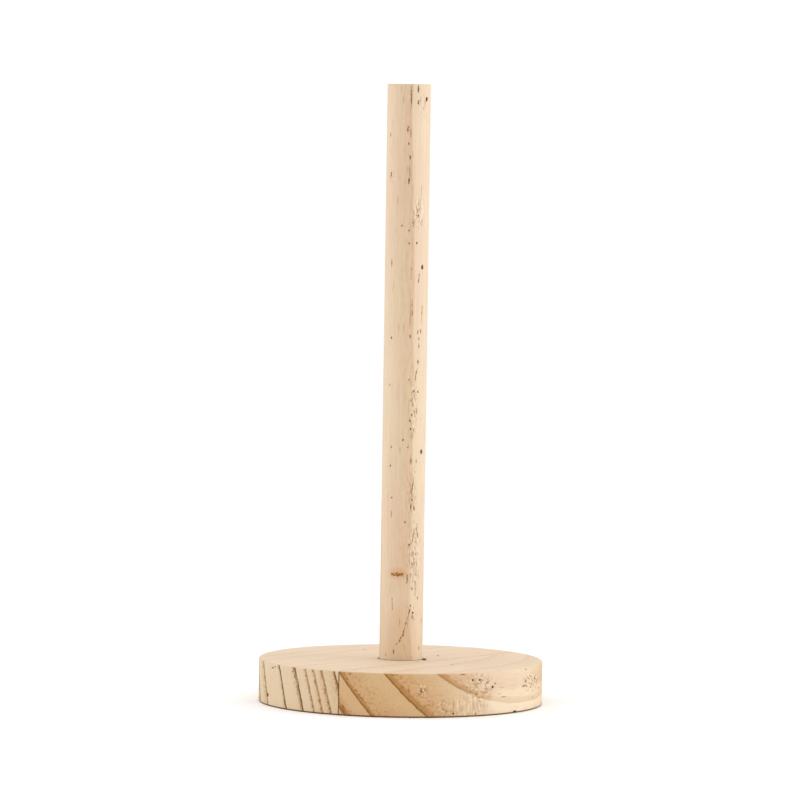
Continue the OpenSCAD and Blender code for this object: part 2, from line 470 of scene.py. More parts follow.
# Its resin flecks, upright and short, as (turn, height, reach up and down, strength)
FLECKS = (
    (25, 281.1, 2.6, 0.9), (6, 277.2, 7.0, 0.55), (25, 274.7, 1.5, 0.8), (-2, 262.4, 2.2, 0.85),
    (6, 260.6, 3.0, 0.35), (-55, 259.7, 1.6, 0.5), (5, 249.6, 1.8, 0.6), (-50, 241.8, 1.8, 0.9),
    (3, 238.8, 2.0, 0.85), (4, 243.4, 4.5, 0.35), (-43, 201.5, 2.6, 0.5), (34, 170.2, 1.4, 0.7),
    (12, 168.3, 1.6, 0.5), (36, 156.5, 1.5, 0.7), (34, 134.1, 1.9, 0.8), (19, 111.1, 2.0, 0.55),
    (35, 111.3, 1.4, 0.5), (21, 90.5, 2.0, 0.6), (30, 90.1, 2.2, 0.6), (-32, 86.9, 2.4, 0.35),
    (39, 80.1, 1.2, 0.6), (43, 77.6, 2.0, 0.5), (34, 64.5, 1.4, 0.7), (-20, 23.9, 1.6, 0.55),
    (56, 25.3, 1.6, 0.6), (67, 37.9, 1.6, 0.5), (-44, 22.3, 1.0, 0.5), (12, 178.7, 9.0, 0.25),
    (16, 219.8, 1.9, 1.0), (44, 170.5, 1.8, 0.6), (38, 164.0, 1.4, 0.7),
)
POST_MARKS = (
    [turned_mark(DOWEL, *pit, 0.95, 1.4, 1.3) for pit in BLACK_PITS]
    + [turned_mark(DOWEL, *pit, 0.52, 0.85, 0.72) for pit in BROWN_PITS]
    + [turned_mark(DOWEL, turn, height, 0.5, high, strength)
       for turn, height, high, strength in FLECKS])
# Where its grain tore out a little, along the right, with painted shade in the hollows and painted
# highlights on the lifted fibres
POST_PATCHES = [turned_mark(DOWEL, *patch) for patch in (
    (35, 68, 5, 20, 0.6), (24, 98, 3, 18, 0.42), (23, 136, 2.6, 20, 0.57), (32, 224, 4, 10, 0.6),
    (38, 273, 3, 8, 0.5), (-46, 241, 2, 4, 0.5), (28, 42, 4, 5, 0.68),
)]
# Painted light low on its front, which offsets the shade that the base casts there
POST_PAINTED_LIGHT = [turned_mark(DOWEL, 5, 38, 12, 24, 0.18)]
# Its fine cracks and resin lines, as (half width, strength, places). The longest, in two parts,
# runs down to the left above the base
POST_CRACKS = [dowel_crack(*crack) for crack in (
    (0.3, 0.8, (23, 43.6), (20, 42.0), (18, 40.3), (11, 36.5), (6, 33.1), (4, 31.6)),
    (0.3, 0.75, (4, 31.6), (0, 30.6), (-3, 29.7), (-5, 28.6), (-10, 27.8), (-14, 27.4)),
    (0.28, 0.45, (40, 237.3), (38, 232.6), (35, 227.5), (30, 223.0)),
    (0.26, 0.4, (30, 223.0), (23, 221.1), (16, 219.3), (6, 216.4)),
    (0.32, 0.9, (34, 153.3), (30, 151.3), (28, 148.4)),
    (0.34, 0.9, (27, 101.4), (24, 98.9), (22, 95.9)),
    (0.32, 0.8, (31, 79.9), (30, 77.3), (26, 73.7)),
    (0.26, 0.75, (-26, 48.2), (-25, 43.0)), (0.28, 0.7, (37, 56.1), (38, 49.5)),
    (0.3, 0.85, (14, 59.1), (13, 55.5)), (0.26, 0.6, (13, 199.2), (12, 194.2)),
    (0.28, 0.75, (36, 196.7), (34, 192.9)), (0.3, 0.65, (16, 185.3), (17, 178.2)),
    (0.28, 0.75, (48, 182.0), (45, 174.0)), (0.26, 0.6, (21, 140.5), (20, 136.3)),
    (0.26, 0.6, (33, 66.7), (32, 61.2)),
)]
# The small knot on the dowel's front, a resinous stain, and the golden wood below it
KNOT_TURN = -12
KNOT_HEIGHT = 59.4
POST_KNOTS = [
    turned_mark(DOWEL, KNOT_TURN, KNOT_HEIGHT + 0.6, 5.6, 3.4, 0.3),
    turned_mark(DOWEL, KNOT_TURN, KNOT_HEIGHT, 4.4, 1.5, 0.9),
    turned_mark(DOWEL, 0, 31, 9, 20, 0.15),
]
# The knot's dark, ragged core
POST_MARKS += [
    turned_mark(DOWEL, KNOT_TURN + turn, KNOT_HEIGHT + lift, 0.8, 0.6, 0.55)
    for turn, lift in ((-15, 0.1), (-9, -0.4), (-2, 0.3), (1, -0.5), (6, -0.1), (12, 0.1))]


# The pine's finish in millimetres: how far the outlines of marks and of knots fray, half the width
# of the glue film, and the height of the fibres' bump
MARK_FRAY = 0.35
KNOT_FRAY = 1.6
GLUE_HALF = 0.3
FIBRE_BUMP = 0.12
# How dark the glue film is, and the weak gloss of bare wood
GLUE_DARK = 0.42
BARE_GLOSS = 0.25


def tones(tree, share, pale, late, edge):
    """From the pale wood through the late wood to the ring's edge, which is a thin line."""
    ramp = add_node(tree, "ShaderNodeValToRGB", {0: share})
    stops = ramp.color_ramp.elements
    stops[0].color = (*pale, 1)
    stops[1].color = (*edge, 1)
    stops.new(0.72).color = (*late, 1)
    return ramp


def covered(tree, share, under, over):
    """One colour over another, by a share from 0 to 1."""
    return add_node(
        tree, "ShaderNodeMix", {0: share, 6: under, 7: over}, data_type="RGBA").outputs[2]


def sum_of(tree, *terms):
    """The sum of the terms, each a socket and its factor."""
    total = 0.0
    for socket, factor in terms:
        total = add_node(tree, "ShaderNodeMath", {0: socket, 1: factor, 2: total},
                         operation="MULTIPLY_ADD")
    return total


def pine_colour(tree, wood, colours, end_tones, end, rings_through_sheen, zones):
    """(the wood's own colour with its rings, its fibres and a slow drift, the fibres' height).

    end is 1 on end grain, and the share after it is how much of the rings there is to see, lowered
    on faces that look up as a painted sheen."""
    # The late wood of the end grain breaks up into speckles where it fades
    grit = grain_noise(tree, wood, stretch=4, scale=0.75, detail=2, roughness=0.7)
    grit = add_node(tree, "ShaderNodeMapRange", {
        "Value": grit, "From Min": 0.48, "From Max": 0.68, "To Min": -0.2, "To Max": 2.8})
    fading = add_node(tree, "ShaderNodeMapRange", {
        "Value": zones, "From Min": 0.7, "From Max": 0.4, "To Min": 0.06})
    fading = add_node(tree, "ShaderNodeMath", {0: fading, 1: zones}, operation="MULTIPLY")
    seen = add_node(tree, "ShaderNodeMapRange", {"Value": end, "To Min": 0.2})
    fading = add_node(tree, "ShaderNodeMath", {0: fading, 1: seen}, operation="MULTIPLY")
    late = add_node(tree, "ShaderNodeMath", {0: grit, 1: fading, 2: zones},
                    operation="MULTIPLY_ADD")
    late = add_node(tree, "ShaderNodeMath", {0: late, 1: rings_through_sheen}, operation="MULTIPLY")
    bare = covered(
        tree, end,
        tones(tree, late, colours.long_pale, colours.long_late, colours.long_late),
        tones(tree, late, *end_tones))
    fibre = grain_noise(tree, wood, stretch=30, scale=1.6, detail=4)
    fibre_tone = add_node(tree, "ShaderNodeMapRange", {
        "Value": fibre, "From Min": 0.3, "From Max": 0.7, "To Min": 0.95, "To Max": 1.05})
    drift = grain_noise(tree, wood, stretch=4, scale=0.09, detail=2, shift=7)
    drift_tone = add_node(tree, "ShaderNodeValToRGB", {0: drift})
    stops = drift_tone.color_ramp.elements
    stops[0].position = 0.35
    stops[0].color = (1.0, 0.955, 0.94, 1)
    stops[1].position = 0.65
    stops[1].color = (1.0, 1.0, 0.96, 1)
    tinted = add_node(tree, "ShaderNodeMix", {0: 1.0, 6: bare, 7: drift_tone},
                      data_type="RGBA", blend_type="MULTIPLY").outputs[2]
    colour = add_node(tree, "ShaderNodeVectorMath", {0: tinted, "Scale": fibre_tone},
                      operation="SCALE")
    return colour, fibre


def torn_wood_shading(tree, wood, stretch, fine, patches, saw_lines):
    """(how deep the wood is torn, painted dark as the shade in its hollows; how much of it is
    lifted, painted pale as paler fibres with a highlight): ragged in the patches, and in upright
    scratches along the saw lines."""
    ragged = grain_noise(tree, wood, stretch, fine, detail=2, roughness=0.6, distortion=0.4)
    upright = add_node(tree, "ShaderNodeVectorMath", {0: wood.mm, 1: (1, 1, 0.22)},
                       operation="MULTIPLY")
    scratch = add_node(tree, "ShaderNodeTexNoise", {"Vector": upright, "Scale": 1.3, "Detail": 2.0})
    sources = ((ragged, mark_depth(tree, wood.mm, patches)),
               (scratch, mark_depth(tree, wood.mm, saw_lines)))
    result = []
    # Hollows, painted as shade, lie where the noise is high, and lifted fibres, painted pale with a
    # highlight, where it is low, each as (where they begin, where they are full, share in the
    # patches, share along the saw lines)
    for low, high, *shares in ((0.53, 0.65, 0.65, 0.22), (0.47, 0.37, 0.6, 0.3)):
        parts = []
        for (noise, cover), share in zip(sources, shares):
            part = add_node(tree, "ShaderNodeMapRange", {
                "Value": noise, "From Min": low, "From Max": high, "To Max": share})
            parts.append(add_node(
                tree, "ShaderNodeMath", {0: part, 1: cover}, operation="MULTIPLY"))
        result.append(deepest(tree, parts))
    return result


def off_joint(tree, mm, joint):
    """How far a place lies from the glue line between the boards, in millimetres."""
    across = add_node(tree, "ShaderNodeVectorMath", {0: mm, 1: ACROSS},
                      operation="DOT_PRODUCT").outputs["Value"]
    off = add_node(tree, "ShaderNodeMath", {0: across, 1: joint}, operation="SUBTRACT")
    return add_node(tree, "ShaderNodeMath", {0: off}, operation="ABSOLUTE")


def joint_film(tree, mm, joint):
    """The thin line of glue where the boards meet."""
    film = add_node(tree, "ShaderNodeMath", {0: off_joint(tree, mm, joint), 1: GLUE_HALF},
                    operation="LESS_THAN")
    return add_node(tree, "ShaderNodeMath", {0: film, 1: GLUE_DARK}, operation="MULTIPLY")


def off_axis(tree, place):
    """(how far a place lies from the dowel's axis, its height)."""
    apart = add_node(tree, "ShaderNodeSeparateXYZ", {0: place})
    level = add_node(tree, "ShaderNodeCombineXYZ", {0: apart.outputs[0], 1: apart.outputs[1]})
    out = add_node(tree, "ShaderNodeVectorMath", {0: level}, operation="LENGTH").outputs["Value"]
    return out, apart.outputs[2]


def painted_edge_shade(tree, mm, reach):
    """Painted shade along the lower edge of the base, where it meets what it stands on, and in the
    narrow gap round the dowel."""
    out, height = off_axis(tree, mm)
    edge_shades = []
    # Each as (where it begins and is full outwards, the same in height, how dark it is)
    for begin, full, low, high, most in (
            (reach - 0.9, reach - 0.3, 0.9, 0.3, 0.85), (DOWEL + 0.5, DOWEL + 0.2, 10, 18, 0.5)):
        near = add_node(tree, "ShaderNodeMapRange", {
            "Value": out, "From Min": begin, "From Max": full})
        level = add_node(tree, "ShaderNodeMapRange", {
            "Value": height, "From Min": low, "From Max": high, "To Max": most})
        edge_shades.append(add_node(tree, "ShaderNodeMath", {0: near, 1: level}, operation="MULTIPLY"))
    return deepest(tree, edge_shades)


def new_material(name):
    """(a new material, its empty node tree)."""
    material = bpy.data.materials.new(name)
    material.use_nodes = True
    material.node_tree.nodes.clear()
    return material, material.node_tree


def pine_material(name, colours, log, end_tones, marks, cracks=(), knots=(), patches=(),
                  torn_stretch=2, torn_scale=1.0, painted_lights=(), saw_lines=(), joint=None,
                  reach=None):
    """Raw pine, sawn, sanded and left bare: pale along the grain, darker and duller on the end
    grain, with golden late wood that stops sharply on the bark side.

    A board of the base has its joint and the base's reach from the axis, in millimetres."""
    material, tree = new_material(name)
    coords = add_node(tree, "ShaderNodeTexCoord").outputs["Object"]
    wood = wood_space(tree, coords, log)
    zones = ring_zones(tree, wood, log)

    # End grain shows where the surface faces along the log
    normal = add_node(tree, "ShaderNodeNewGeometry").outputs["Normal"]
    facing = add_node(tree, "ShaderNodeVectorMath", {0: normal, 1: log.along},
                      operation="DOT_PRODUCT").outputs["Value"]
    facing = add_node(tree, "ShaderNodeMath", {0: facing}, operation="ABSOLUTE")
    end = add_node(tree, "ShaderNodeMapRange", {
        "Value": facing, "From Min": 0.1, "From Max": 0.75}, interpolation_type="SMOOTHSTEP")
    # The rings are faded on faces that look up, where a painted sheen washes them out
    upward = add_node(tree, "ShaderNodeSeparateXYZ", {0: normal}).outputs[2]
    rings_through_sheen = add_node(tree, "ShaderNodeMapRange", {
        "Value": upward, "From Min": 0.3, "From Max": 0.9, "To Min": 1.0, "To Max": 0.22})
    colour, fibre = pine_colour(tree, wood, colours, end_tones, end, rings_through_sheen, zones)

    # Canals run through the late wood, so few lie in the pale wood
    share = add_node(tree, "ShaderNodeMapRange", {
        "Value": zones, "From Max": 0.5, "To Min": 0.1, "To Max": 0.5})
    canals = add_node(tree, "ShaderNodeMath", {0: canal_depth(tree, wood), 1: share},
                      operation="MULTIPLY")
    ragged = frayed(tree, wood.mm, MARK_FRAY)
    depths = [canals, mark_depth(tree, ragged, marks)]
    if cracks:
        depths.append(crack_depth(tree, ragged, cracks))
    if patches:
        torn, fibres_and_highlights = torn_wood_shading(tree, wood, torn_stretch, torn_scale, patches, saw_lines)
        depths.append(torn)
        # Lifted fibres with their painted highlight, and the painted light patches, take the pale
        # colour
        fibres_and_highlights = deepest(tree, [fibres_and_highlights, mark_depth(tree, wood.mm, painted_lights)])
        colour = covered(tree, fibres_and_highlights, colour, (*colours.fibres_and_highlights, 1))
    if knots:
        knotty = mark_depth(tree, frayed(tree, wood.mm, KNOT_FRAY), knots)
        colour = covered(tree, knotty, colour, (*colours.knot, 1))
    if joint:
        # The glue film fades on faces that look up, with the painted sheen
        film = add_node(tree, "ShaderNodeMath", {0: joint_film(tree, wood.mm, joint), 1: rings_through_sheen},
                        operation="MULTIPLY")
        # painted shade along the board's lower edge and in the gap round the dowel
        depths += [film, painted_edge_shade(tree, wood.mm, reach)]
    dark = deepest(tree, depths)
    # A mark is a brown stain round its edge, and nearly black in its middle; the painted shades
    # take the same two colours
    stain_and_shade = add_node(tree, "ShaderNodeMapRange", {"Value": dark, "From Max": 0.6})
    deep = add_node(tree, "ShaderNodeMapRange", {"Value": dark, "From Min": 0.35})
    colour = covered(tree, stain_and_shade, colour, (*colours.stain_and_shade, 1))
    colour = covered(tree, deep, colour, (*colours.fleck_and_shade, 1))

    # The fibres stand a few hundredths of a millimetre proud, and the flecks lie below them
    height = sum_of(tree, (fibre, 0.8), (zones, 0.8), (dark, -1.5))
    bump = add_node(tree, "ShaderNodeBump", {
        "Height": height, "Strength": 0.5, "Distance": FIBRE_BUMP * MM})
    dull = add_node(tree, "ShaderNodeMapRange", {"Value": end, "To Min": 0.6, "To Max": 0.75})
    shader = add_node(tree, "ShaderNodeBsdfPrincipled", {
        "Base Color": colour, "Roughness": dull, "Normal": bump, "IOR": 1.5,
        "Specular IOR Level": BARE_GLOSS})
    add_node(tree, "ShaderNodeOutputMaterial", {"Surface": shader})
    return material


def zinc_material():
    """Zinc-plated steel, stamped and tumbled: bright grey with a faint cloudy bloom."""
    material, tree = new_material("zinc_plated_steel_bright")
    coords = add_node(tree, "ShaderNodeTexCoord").outputs["Object"]
    mm = add_node(tree, "ShaderNodeVectorMath", {0: coords, "Scale": 1 / MM}, operation="SCALE")
    bloom = add_node(tree, "ShaderNodeTexNoise", {"Vector": mm, "Scale": 0.8, "Detail": 4.0})
    tone = add_node(tree, "ShaderNodeValToRGB", {0: bloom})
    tone.color_ramp.elements[0].color = (*linear("#a9acae"), 1)
    tone.color_ramp.elements[1].color = (*linear("#d9d8d2"), 1)
    dull = add_node(tree, "ShaderNodeMapRange", {"Value": bloom, "To Min": 0.25, "To Max": 0.45})
    shader = add_node(tree, "ShaderNodeBsdfPrincipled", {
        "Base Color": tone, "Metallic": 1.0, "Roughness": dull})
    add_node(tree, "ShaderNodeOutputMaterial", {"Surface": shader})
    return material


def new_piece(name, mesh):
    """Puts a mesh into the scene as a piece at the origin."""
    piece = bpy.data.objects.new(name, mesh)
    bpy.context.scene.collection.objects.link(piece)
    return piece


def run_nodes(piece, tree, values):
    """Runs a geometry tree on the piece, bakes its result into a plain mesh, and removes it."""
    modifier = piece.modifiers.new(tree.name, "NODES")
    modifier.node_group = tree
    for socket in tree.interface.items_tree:
        if socket.name in values:
            modifier[socket.identifier] = values[socket.name]
    depsgraph = bpy.context.evaluated_depsgraph_get()
    mesh = bpy.data.meshes.new_from_object(piece.evaluated_get(depsgraph))
    piece.modifiers.remove(modifier)
    piece.data = mesh
    mesh.name = piece.name


def settle(piece, node):
    """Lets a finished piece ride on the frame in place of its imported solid."""
    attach(piece, "root")
    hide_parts(node)


def geometry_tree(name, *sizes, whole=()):
    """(tree, its input node, its output node) for a modifier, with each size as a named input, and
    then the sizes that are whole numbers."""
    tree = bpy.data.node_groups.new(name, "GeometryNodeTree")
    tree.interface.new_socket("Geometry", in_out="INPUT", socket_type="NodeSocketGeometry")
    tree.interface.new_socket("Geometry", in_out="OUTPUT", socket_type="NodeSocketGeometry")
    for names, kind in ((sizes, "NodeSocketFloat"), (whole, "NodeSocketInt")):
        for size in names:
            tree.interface.new_socket(size, in_out="INPUT", socket_type=kind)
    return tree, tree.nodes.new("NodeGroupInput"), tree.nodes.new("NodeGroupOutput")


def carve(tree, start, geometry, log, marks, guard, joint=None):
    """Sinks the soft wood between the rings, the pits and the joint's edges below the sanded face.

    guard is 1 where the surface may be carved and 0 in the bores."""
    wood = wood_space(tree, add_node(tree, "GeometryNodeInputPosition"), log)
    relief = start.outputs["Relief"]
    soft = add_node(tree, "ShaderNodeMath", {0: 1.0, 1: ring_zones(tree, wood, log)},
                    operation="SUBTRACT")
    # A hand-held sander leaves the faces a few hundredths of a millimetre uneven
    waves = add_node(tree, "ShaderNodeTexNoise", {"Vector": wood.mm, "Scale": 0.12, "Detail": 1.0})
    terms = [(soft, relief), (waves, relief),
             (mark_depth(tree, wood.mm, marks), start.outputs["Pit Depth"])]
    if joint:
        groove = add_node(tree, "ShaderNodeMapRange", {
            "Value": off_joint(tree, wood.mm, joint), "From Min": 0.5, "From Max": 0.0,
            "To Max": 1.5})
        terms.append((groove, relief))
    sunk = add_node(tree, "ShaderNodeMath", {0: sum_of(tree, *terms), 1: guard},
                    operation="MULTIPLY")
    sunk = add_node(tree, "ShaderNodeMath", {0: sunk, 1: -1.0}, operation="MULTIPLY")
    inwards = add_node(tree, "ShaderNodeVectorMath", {
        0: add_node(tree, "GeometryNodeInputNormal"), "Scale": sunk}, operation="SCALE")
    return add_node(tree, "GeometryNodeSetPosition", {"Geometry": geometry, "Offset": inwards})


# An edge that bends more than this stays sharp
SHARP_ANGLE = math.radians(40)


def finish_tree(tree, end, geometry, material):
    """Every tree ends in real geometry with its material, smooth but for its sharp edges."""
    smooth = add_node(tree, "GeometryNodeSetShadeSmooth", {"Geometry": geometry})
    angle = add_node(tree, "GeometryNodeInputMeshEdgeAngle").outputs["Unsigned Angle"]
    sharp = add_node(tree, "ShaderNodeMath", {0: angle, 1: SHARP_ANGLE},
                     operation="GREATER_THAN")
    creased = add_node(tree, "GeometryNodeSetShadeSmooth", {
        "Geometry": smooth, "Selection": sharp, "Shade Smooth": False}, domain="EDGE")
    real = add_node(tree, "GeometryNodeRealizeInstances", {"Geometry": creased})
    dressed = add_node(tree, "GeometryNodeSetMaterial", {
        "Geometry": real, "Material": material})
    tree.links.new(dressed.outputs[0], end.inputs[0])


def arc(centre, radius, start, stop, steps):
    """Points of an arc in the profile plane, from angle start to stop in degrees."""
    turns = [math.radians(start + (stop - start) * i / steps) for i in range(steps + 1)]
    return [(centre[0] + radius * math.cos(a), centre[1] + radius * math.sin(a)) for a in turns]


def span(start, stop, step):
    """Points from start to stop, both included, about step apart."""
    count = max(1, round(math.dist(start, stop) / step))
    return [
        (start[0] + (stop[0] - start[0]) * i / count, start[1] + (stop[1] - start[1]) * i / count)
        for i in range(count + 1)]


def base_profile(sizes):
    """The base's half section as (radius, height) points, from the shank hole up and round."""
    radius, top, edge = sizes.base_radius, sizes.base_thickness, sizes.edge_radius
    hole, socket, mouth = sizes.shank_hole_radius, sizes.socket_radius, sizes.mouth_chamfer
    floor = POST_LOW.z
    sink = sizes.countersink_radius - hole
    fine = 0.45 * MM
    coarse = 1.4 * MM
    runs = [
        span((hole, sink), (hole, floor), coarse),
        span((hole, floor), (socket, floor), coarse),
        span((socket, floor), (socket, top - 3 * mouth), coarse),
        span((socket, top - 3 * mouth), (socket + mouth, top), fine),
        span((socket + mouth, top), (socket + 8 * mouth, top), fine),
        span((socket + 8 * mouth, top), (radius - edge, top), 1.2 * coarse),
        arc((radius - edge, top - edge), edge, 90, 0, 4),
        span((radius, top - edge), (radius, edge), fine),
        arc((radius - edge, edge), edge, 0, -90, 4),
        span((radius - edge, 0), (sizes.countersink_radius, 0), 2 * coarse),
        span((sizes.countersink_radius, 0), (hole, sink), coarse),
    ]
    points = []
    for run in runs:
        points += run[:-1]
    return points


def lathe(mesh, profile, steps, closed):
    """Turns a profile of (radius, height) points round Z, and returns its columns of corners.

    A closed profile also has faces between its last points and its first."""
    columns = []
    for i in range(steps):
        turn = 2 * math.pi * i / steps
        columns.append([
            mesh.verts.new((x * math.cos(turn), x * math.sin(turn), z)) for x, z in profile])
    count = len(profile)
    for column, after in zip(columns, columns[1:] + columns[:1]):
        for k in range(count if closed else count - 1):
            n = (k + 1) % count
            mesh.faces.new((column[k], column[n], after[n], after[k]))
    return columns


def plain_mesh(name, shape):
    """A shape's finished mesh, with its faces pointing outwards."""
    bmesh.ops.recalc_face_normals(shape, faces=shape.faces[:])
    mesh = bpy.data.meshes.new(name)
    shape.to_mesh(mesh)
    shape.free()
    return mesh


def board_mesh(name, sizes, side):
    """One board of the base: side is 1 for the front board and -1 for the back one."""
    disc = bmesh.new()
    lathe(disc, base_profile(sizes), sizes.round_steps, True)
    cut = bmesh.ops.bisect_plane(
        disc, geom=disc.verts[:] + disc.edges[:] + disc.faces[:], dist=1e-7,
        plane_co=ACROSS * sizes.seam_offset, plane_no=ACROSS * side, clear_inner=True)
    rim = [part for part in cut["geom_cut"] if isinstance(part, bmesh.types.BMEdge)]
    bmesh.ops.edgeloop_fill(disc, edges=rim)
    return plain_mesh(name, disc)


def board_tree(name, log, joint, material):
    """Carves a board's grain and the fine groove along its glue line."""
    tree, start, end = geometry_tree(name, "Relief", "Pit Depth", "Bore Radius")
    out, _ = off_axis(tree, add_node(tree, "GeometryNodeInputPosition"))
    guard = add_node(tree, "ShaderNodeMath", {0: out, 1: start.outputs["Bore Radius"]},
                     operation="GREATER_THAN")
    carved = carve(tree, start, start.outputs[0], log, BASE_MARKS, guard, joint)
    finish_tree(tree, end, carved, material)
    return tree


class HOLDER_OT_base_boards(bpy.types.Operator):
    """Build the two glued boards of the base"""

    bl_idname = "holder.base_boards"
    bl_label = "Base Boards"

    def execute(self, context):
        sizes = context.scene.holder.sizes
        colours = context.scene.holder.colours
        joint = sizes.seam_offset / MM
        front_tones = (colours.front_end, colours.front_late, colours.front_edge)
        back_tones = (colours.back_end, colours.back_late, colours.back_edge)
        for node, log, end_tones, side in (
                ("base_front_board", FRONT_LOG, front_tones, 1),
                ("base_back_board", BACK_LOG, back_tones, -1)):
            name = node + "_sanded"
            material = pine_material(
                "sanded_pine_" + node.removeprefix("base_"), colours, log, end_tones, BASE_MARKS,
                knots=WARM_PATCHES, patches=TORN_PATCHES, painted_lights=RIM_PAINTED_LIGHT,
                saw_lines=SAW_LINES, joint=joint, reach=sizes.base_radius / MM)
            piece = new_piece(name, board_mesh(name, sizes, side))
            # The carving keeps off the bores and most of the socket's broken edge
            run_nodes(piece, board_tree(name + "_grain", log, joint, material), {
                "Relief": sizes.relief, "Pit Depth": sizes.pit_depth,
                "Bore Radius": sizes.socket_radius + 0.8 * sizes.mouth_chamfer})
            settle(piece, node)
        return {"FINISHED"}


# Faces round the dowel and round the screw
DOWEL_STEPS = 144
SCREW_STEPS = 96
# How far before the screw's point its thread runs out
THREAD_SHORT = 1.6 * MM


def turned_rows(points):
    """A mesh of single points on the turning axis, each with the radius that is turned there."""
    mesh = bpy.data.meshes.new("turning")
    places = [(0, 0, height) for _, height in points]
    mesh.from_pydata(places, [(i, i + 1) for i in range(len(points) - 1)], [])
    radii = mesh.attributes.new("turned_radius", "FLOAT", "POINT")
    radii.data.foreach_set("value", [radius for radius, _ in points])
    return mesh


def turn_round(tree, geometry, steps):
    """Sweeps a circle up the axis, as wide at each point as its turned radius."""
    line = add_node(tree, "GeometryNodeMeshToCurve", {"Mesh": geometry})
    width = add_node(tree, "GeometryNodeInputNamedAttribute", {"Name": "turned_radius"},
                     data_type="FLOAT")
    line = add_node(tree, "GeometryNodeSetCurveRadius", {"Curve": line, "Radius": width})
    circle = add_node(tree, "GeometryNodeCurvePrimitiveCircle", {
        "Resolution": steps, "Radius": 1.0})
    return add_node(tree, "GeometryNodeCurveToMesh", {
        "Curve": line, "Profile Curve": circle.outputs[0], "Scale": width, "Fill Caps": True})


def post_profile(sizes):
    """The dowel's half section as (radius, height) points, from its foot up.

    Each point is a little higher than the last, because the sweep follows the axis."""
    foot, radius, chamfer = sizes.foot_radius, sizes.post_radius, sizes.end_chamfer
    low, top, shoulder = POST_LOW.z, POST_HIGH.z, sizes.base_thickness
    hair = 0.001 * MM
    fine = 0.5 * MM
    corner = arc((radius - chamfer, top - chamfer), chamfer - 9 * hair, 0, 90, 4)
    return (
        span((foot - chamfer, low), (foot, low + chamfer), fine)
        + span((foot, low + chamfer), (foot, shoulder - hair), fine)[1:]
        + span((radius, shoulder), (radius, top - chamfer), fine)
        + corner[1:]
        + [((radius - chamfer) * k / 8, top - hair * k) for k in range(7, 0, -1)])


def post_tree(material):
    """Turns the dowel and carves its grain."""
    tree, start, end = geometry_tree("post_turning", "Relief", "Pit Depth", whole=["Steps Round"])
    turned = turn_round(tree, start.outputs[0], start.outputs["Steps Round"])
    carved = carve(tree, start, turned, POST_LOG, POST_MARKS, 1.0)
    finish_tree(tree, end, carved, material)
    return tree


class HOLDER_OT_post(bpy.types.Operator):
    """Turn the dowel that stands in the base"""

    bl_idname = "holder.post"
    bl_label = "Post"

    def execute(self, context):
        sizes = context.scene.holder.sizes
        colours = context.scene.holder.colours
        material = pine_material(
            "sanded_pine_dowel", colours, POST_LOG,
            (colours.back_end, colours.back_late, colours.back_edge), POST_MARKS,
            cracks=POST_CRACKS, knots=POST_KNOTS, patches=POST_PATCHES, torn_stretch=4,
            torn_scale=1.5, painted_lights=POST_PAINTED_LIGHT)
        piece = new_piece("post_sanded", turned_rows(post_profile(sizes)))
        run_nodes(piece, post_tree(material), {
            "Steps Round": DOWEL_STEPS, "Relief": sizes.relief, "Pit Depth": sizes.pit_depth})
        settle(piece, "post")
        return {"FINISHED"}


def screw_mesh(sizes):
    """The screw's smooth body: countersunk head with its cross recess, shank, core and tip."""
    head, shank, core = sizes.head_radius, sizes.shank_radius, sizes.core_radius
    low, tip = SCREW_LOW.z, SCREW_HIGH.z
    rim = low + sizes.head_rim
    thread = tip - sizes.thread_length
    mesh = bmesh.new()
    columns = lathe(mesh, [
        (head, low), (head, rim), (shank, rim + head - shank), (shank, thread),
        (core, thread + shank - core), (core, tip - sizes.tip_length), (0.02 * MM, tip)],
        SCREW_STEPS, False)
    bmesh.ops.contextual_create(mesh, geom=[column[-1] for column in columns])
    # The cross recess narrows in three steps, each as (reach, half an arm's width, depth). Each arm
    # has two outer corners, and then comes the corner between two arms
    loops = []
    for reach, half, depth in (
            (sizes.recess_reach, 0.5 * MM, 0), (0.8 * sizes.recess_reach, 0.44 * MM, 0.6 * MM),
            (0.35 * sizes.recess_reach, 0.36 * MM, 2.1 * MM)):
        loop = []
        for cos, sin in ((1, 0), (0, 1), (-1, 0), (0, -1)):
            for x, y in ((reach, -half), (reach, half), (half, half)):
                loop.append(mesh.verts.new((x * cos - y * sin, x * sin + y * cos, low + depth)))
        loops.append(loop)
    for outer, inner in zip(loops, loops[1:]):
        for k in range(len(outer)):
            n = (k + 1) % len(outer)
            mesh.faces.new((outer[k], outer[n], inner[n], inner[k]))
    mesh.faces.new(loops[-1])
    face_edges = []
    for loop in (loops[0], [column[0] for column in columns]):
        for k, corner in enumerate(loop):
            after = loop[(k + 1) % len(loop)]
            face_edges.append(mesh.edges.get((corner, after)) or mesh.edges.new((corner, after)))
    bmesh.ops.triangle_fill(mesh, edges=face_edges, use_beauty=True)
    return plain_mesh("screw_body", mesh)


